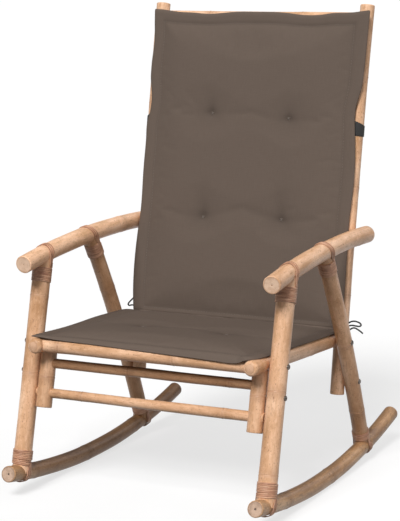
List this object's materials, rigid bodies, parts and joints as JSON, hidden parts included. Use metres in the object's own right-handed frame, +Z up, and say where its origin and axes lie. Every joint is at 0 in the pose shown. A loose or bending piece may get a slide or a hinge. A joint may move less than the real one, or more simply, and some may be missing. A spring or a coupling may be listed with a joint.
{
  "type": "bamboo rocking chair",
  "caption": "Rocking chair of bamboo poles with bowed rockers and armrests, rattan-bound joints and a tufted high-back pad that is strapped and tied to the frame.",
  "frame": {"origin": "on the floor under the middle of the chair's outline", "axes": "+Z up, the chair faces -Y, +X is its left-hand side for a sitter, the right side as seen from the front"},
  "size_m": [0.5762, 0.7513, 0.9658],
  "materials": {
    "bamboo": "satin lacquer",
    "rocker_bamboo": "satin lacquer, worn",
    "slat_bamboo": "satin",
    "dowel_wood": "raw",
    "rattan": "satin",
    "steel": "zinc plated",
    "pad_fabric": "matte plain weave",
    "elastic": "matte webbing",
    "tie_cord": "matte cord"
  },
  "bodies": {
    "chair": {"back_pad": "pad_fabric", "back_slat_1": "slat_bamboo", "back_slat_2": "slat_bamboo", "back_slat_3": "slat_bamboo", "back_slat_4": "slat_bamboo", "back_slat_5": "slat_bamboo", "back_slat_6": "slat_bamboo", "elastic_strap": "elastic", "front_seat_rail": "bamboo", "left_armrest": "bamboo", "left_back_upright": "bamboo", "left_front_arm_binding": "rattan", "left_front_leg": "bamboo", "left_front_post": "bamboo", "left_front_rocker_binding": "rattan", "left_rear_arm_binding": "rattan", "left_rear_leg": "bamboo", "left_rear_rocker_binding": "rattan", "left_rocker": "rocker_bamboo", "left_side_rail": "bamboo", "left_tie": "tie_cord", "leg_dowels": "dowel_wood", "leg_screws": "steel", "lower_back_rail": "bamboo", "lower_stretcher": "bamboo", "rear_seat_rail": "bamboo", "right_armrest": "bamboo", "right_back_upright": "bamboo", "right_front_arm_binding": "rattan", "right_front_leg": "bamboo", "right_front_post": "bamboo", "right_front_rocker_binding": "rattan", "right_rear_arm_binding": "rattan", "right_rear_leg": "bamboo", "right_rear_rocker_binding": "rattan", "right_rocker": "rocker_bamboo", "right_side_rail": "bamboo", "right_tie": "tie_cord", "seat_slat_1": "slat_bamboo", "seat_slat_2": "slat_bamboo", "seat_slat_3": "slat_bamboo", "seat_slat_4": "slat_bamboo", "seat_slat_5": "slat_bamboo", "seat_slat_6": "slat_bamboo", "seat_slat_7": "slat_bamboo", "top_rail": "bamboo", "upper_stretcher": "bamboo"},
    "seat_panel": {"seat_pad": "pad_fabric"}
  },
  "joints": [
    {"name": "pad_fold", "type": "hinge", "parent": "chair", "child": "seat_panel", "pos_m": [0, 0.11838, 0.29827], "axis": [-1, 0, 0], "range_deg": [0, 60]}
  ]
}
